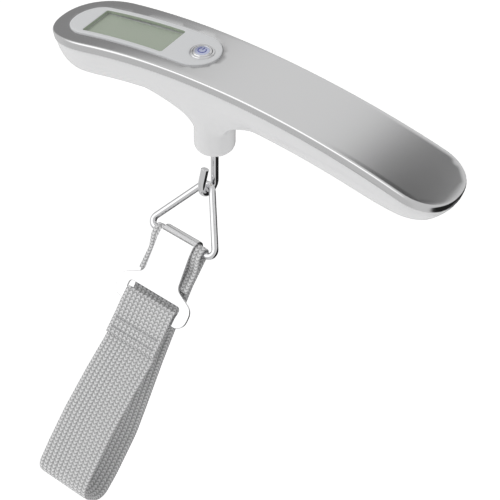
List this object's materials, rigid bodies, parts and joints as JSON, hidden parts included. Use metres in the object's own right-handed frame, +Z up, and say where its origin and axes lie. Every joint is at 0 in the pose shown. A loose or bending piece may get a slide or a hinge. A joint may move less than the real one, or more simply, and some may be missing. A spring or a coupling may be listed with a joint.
{
  "type": "digital luggage scale",
  "caption": "Hand-held digital luggage scale: arched grip with a display and power button, a short neck with a hook, a triangular ring, a steel buckle and a webbing strap loop.",
  "frame": {"origin": "top of the grip on the neck's axis, where the hand's palm rests", "axes": "+X along the grip towards its plain end, with the display on the -X side; +Z up out of the grip's top, so the neck and hook hang along -Z; -Y is the side that the strap is swung towards"},
  "size_m": [0.1564, 0.0958, 0.1445],
  "materials": {
    "cover_steel": "brushed along the grip",
    "white_shell": "glossy",
    "bezel_plastic": "satin",
    "clear_lens": "clear",
    "display_glass": "grey-green, satin",
    "black_plastic": "matte",
    "white_plastic": "matte",
    "board_green": "satin solder mask",
    "chrome": "bright",
    "bright_steel": "bright, lightly brushed",
    "cell_aluminium": "milled",
    "brass": "plain",
    "zinc_steel": "zinc plated",
    "webbing_grey": "plain woven webbing",
    "thread_grey": "sewing thread",
    "rubber_grey": "layered elastomer",
    "lead_red": "insulation"
  },
  "bodies": {
    "grip": {"top_cover": "cover_steel", "lower_housing": "white_shell", "display_bezel": "bezel_plastic", "lcd_window": "clear_lens", "window_tape": "black_plastic", "lcd_panel": "display_glass", "display_holder": "white_plastic", "zebra_strips": "rubber_grey", "circuit_board": "board_green", "controller_chip": "black_plastic", "board_parts": "black_plastic", "button_collar": "chrome", "tact_switch": "black_plastic", "load_cell": "cell_aluminium", "strain_gauges": "brass", "cell_screws": "zinc_steel", "sensor_ribbon": "white_plastic", "battery": "bright_steel", "battery_tray": "white_plastic", "negative_contact": "zinc_steel", "positive_contact": "zinc_steel", "battery_leads": "lead_red", "neck_bush": "white_plastic", "hook_washer": "zinc_steel"},
    "button": {"power_button": "chrome", "switch_plunger": "white_plastic"},
    "door": {"battery_door": "white_shell"},
    "hook": {"hook": "chrome", "hook_nut": "zinc_steel"},
    "ring": {"triangle_ring": "chrome"},
    "strap_loop": {"buckle_plate": "bright_steel", "strap": "webbing_grey", "strap_stitching": "thread_grey"}
  },
  "joints": [
    {"name": "power_press", "type": "slide", "parent": "grip", "child": "button", "axis": [0.021, 0, -0.9998], "range_m": [0, 0.0005], "stiffness_N_per_m": 1500, "springref_m": -0.0003},
    {"name": "battery_door_hinge", "type": "hinge", "parent": "grip", "child": "door", "pos_m": [0.07223, 0, -0.0253], "axis": [0, -1, 0], "range_deg": [0, 70]},
    {"name": "hook_swivel", "type": "hinge", "parent": "grip", "child": "hook", "pos_m": [0, 0, -0.037], "axis": [0, 0, 1], "continuous": true},
    {"name": "ring_swing", "type": "hinge", "parent": "hook", "child": "ring", "pos_m": [-0.00034, -0.00323, -0.0512], "axis": [0.9945, -0.1045, 0], "range_deg": [-33, 101]},
    {"name": "strap_swing", "type": "hinge", "parent": "ring", "child": "strap_loop", "pos_m": [-0.00182, -0.01734, -0.06735], "axis": [0.9945, -0.1045, 0], "range_deg": [-25, 35]}
  ]
}
